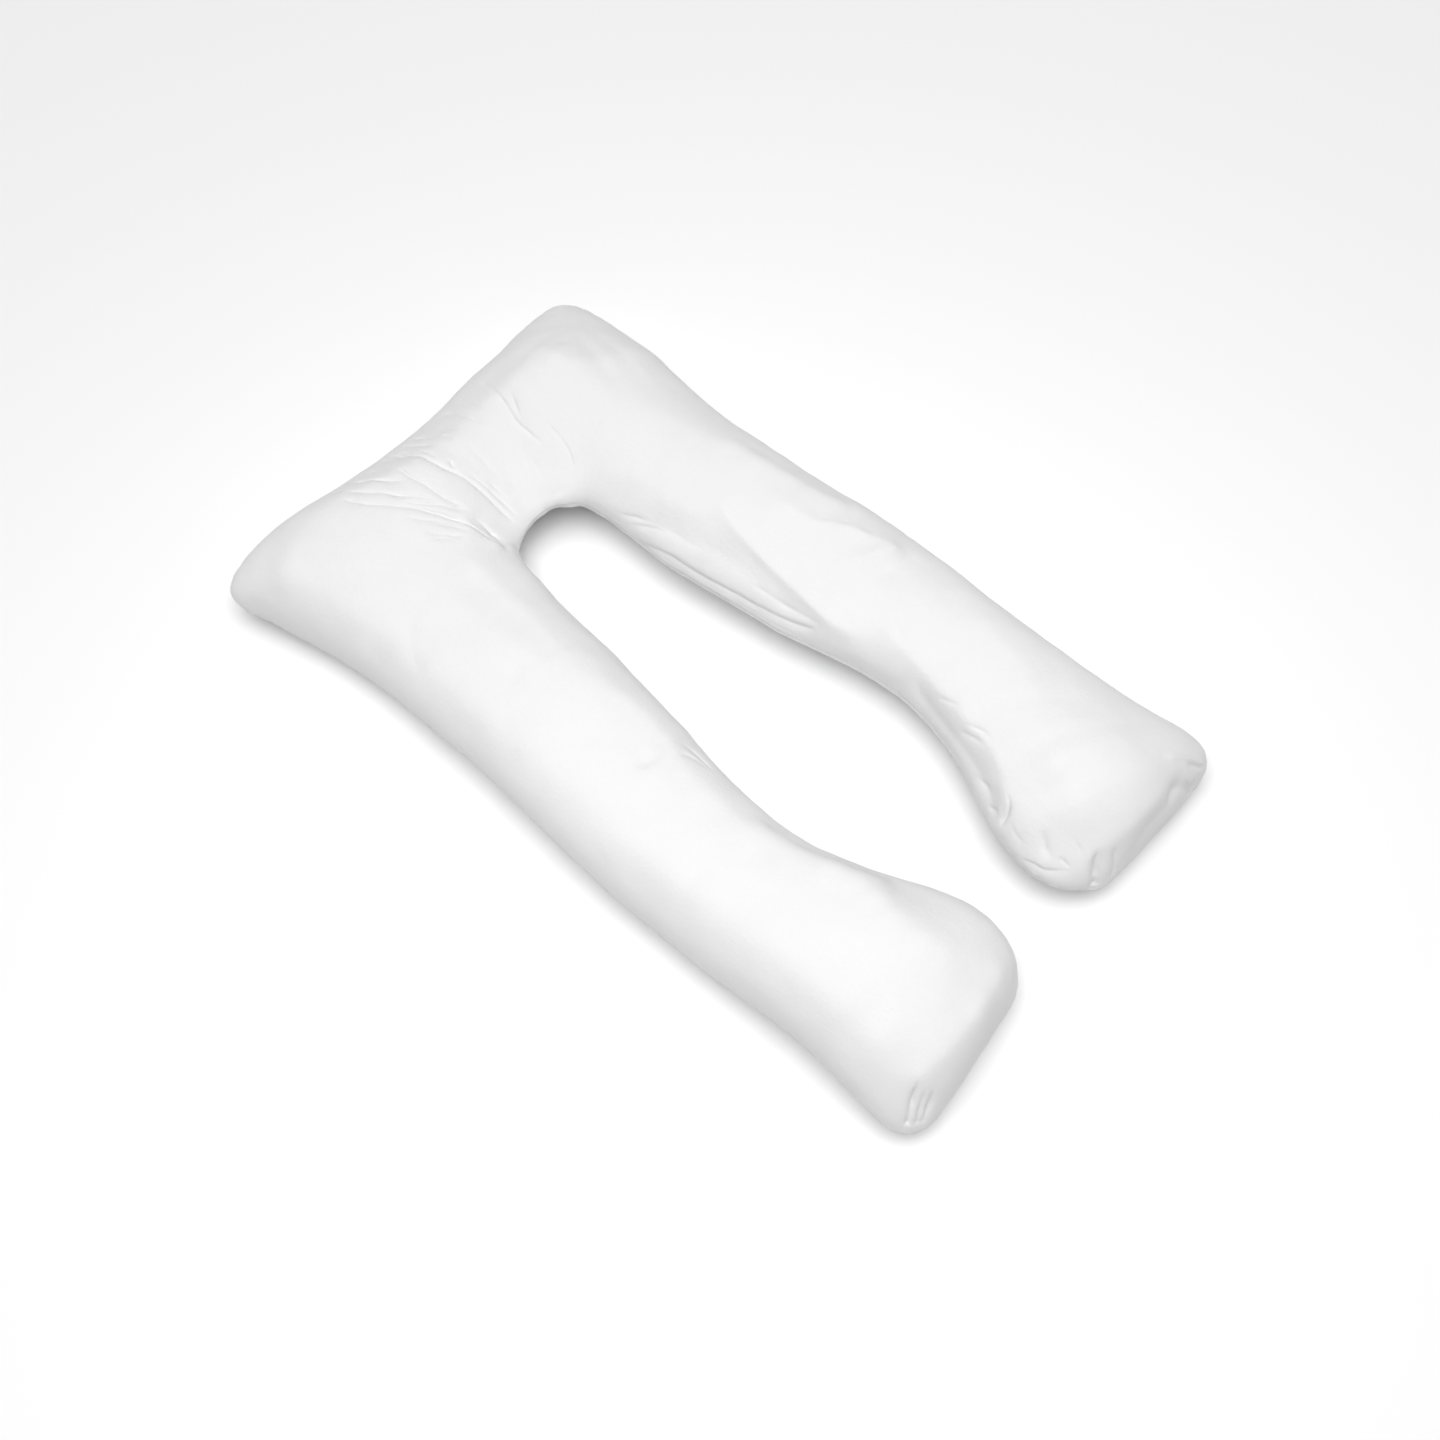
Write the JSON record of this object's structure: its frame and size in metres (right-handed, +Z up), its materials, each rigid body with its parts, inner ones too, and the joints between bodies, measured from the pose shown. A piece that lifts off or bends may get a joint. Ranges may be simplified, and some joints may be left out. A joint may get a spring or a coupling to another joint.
{
  "type": "u-shaped body pillow",
  "caption": "U-shaped full-body pillow with soft oval limbs, thin corners and cloth gathered at the arch, lying flat.",
  "frame": {"origin": "middle of the pillow's length and width, on the surface that it lies on", "axes": "+Y towards the head, +X to the right of a person lying on their back, +Z up; the limbs run along Y and the feet are at -Y"},
  "size_m": [0.8208, 1.4168, 0.1843],
  "materials": {
    "white_cloth": "smooth matt cotton-polyester weave"
  },
  "bodies": {
    "root": {"pillow_body": "white_cloth"}
  },
  "joints": []
}
